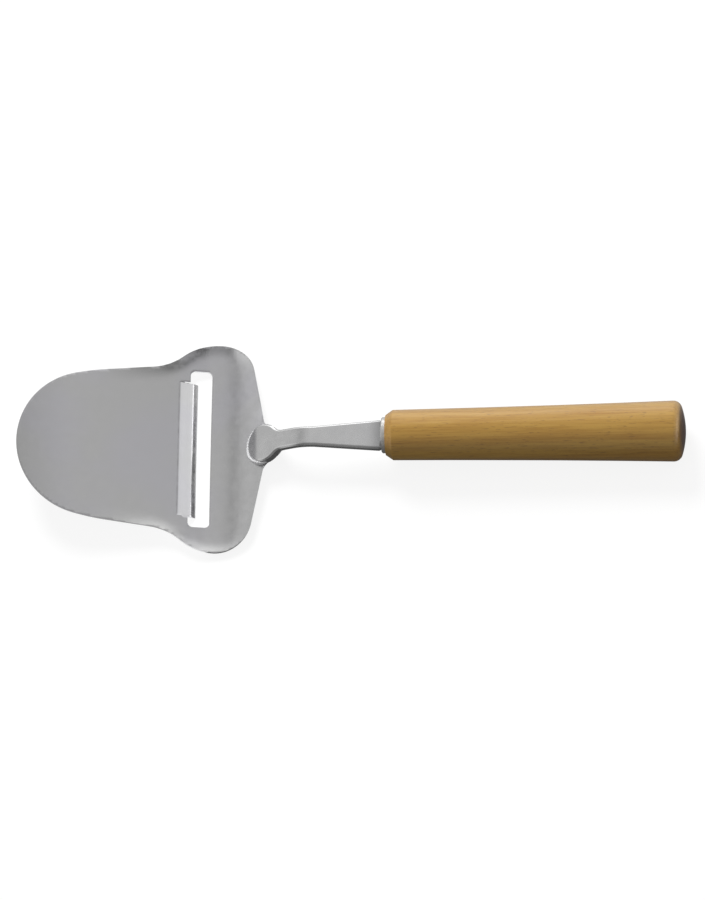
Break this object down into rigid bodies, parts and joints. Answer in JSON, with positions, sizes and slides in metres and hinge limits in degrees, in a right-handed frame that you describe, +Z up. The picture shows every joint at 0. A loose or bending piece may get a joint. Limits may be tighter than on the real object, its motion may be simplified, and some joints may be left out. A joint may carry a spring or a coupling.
{
  "type": "cheese slicer",
  "caption": "Hand cheese slicer: a flat steel blade with a sharpened lip bent down in front of a cross slot, an upswept neck, a welded shank and a round wooden handle.",
  "frame": {"origin": "under the middle of the bounding box, on the surface that the slicer rests on", "axes": "+X runs from the blade's tip towards the end of the handle, +Y across the slicer, +Z up as it lies at rest on the edge of its lip and the rear of its handle"},
  "size_m": [0.2224, 0.073, 0.0206],
  "materials": {
    "sheet_steel": "satin stamped stainless sheet",
    "shank_steel": "ground and softly polished stainless steel",
    "weld_metal": "bright weld metal",
    "collar_steel": "bright turned ring",
    "beech": "oiled beech, fine sanded",
    "adhesive": "cured adhesive, hidden in the bore"
  },
  "bodies": {
    "root": {"blade": "sheet_steel", "shank": "shank_steel", "weld_bead": "weld_metal", "collar_ring": "collar_steel", "handle": "beech", "tang_adhesive": "adhesive"}
  },
  "joints": []
}
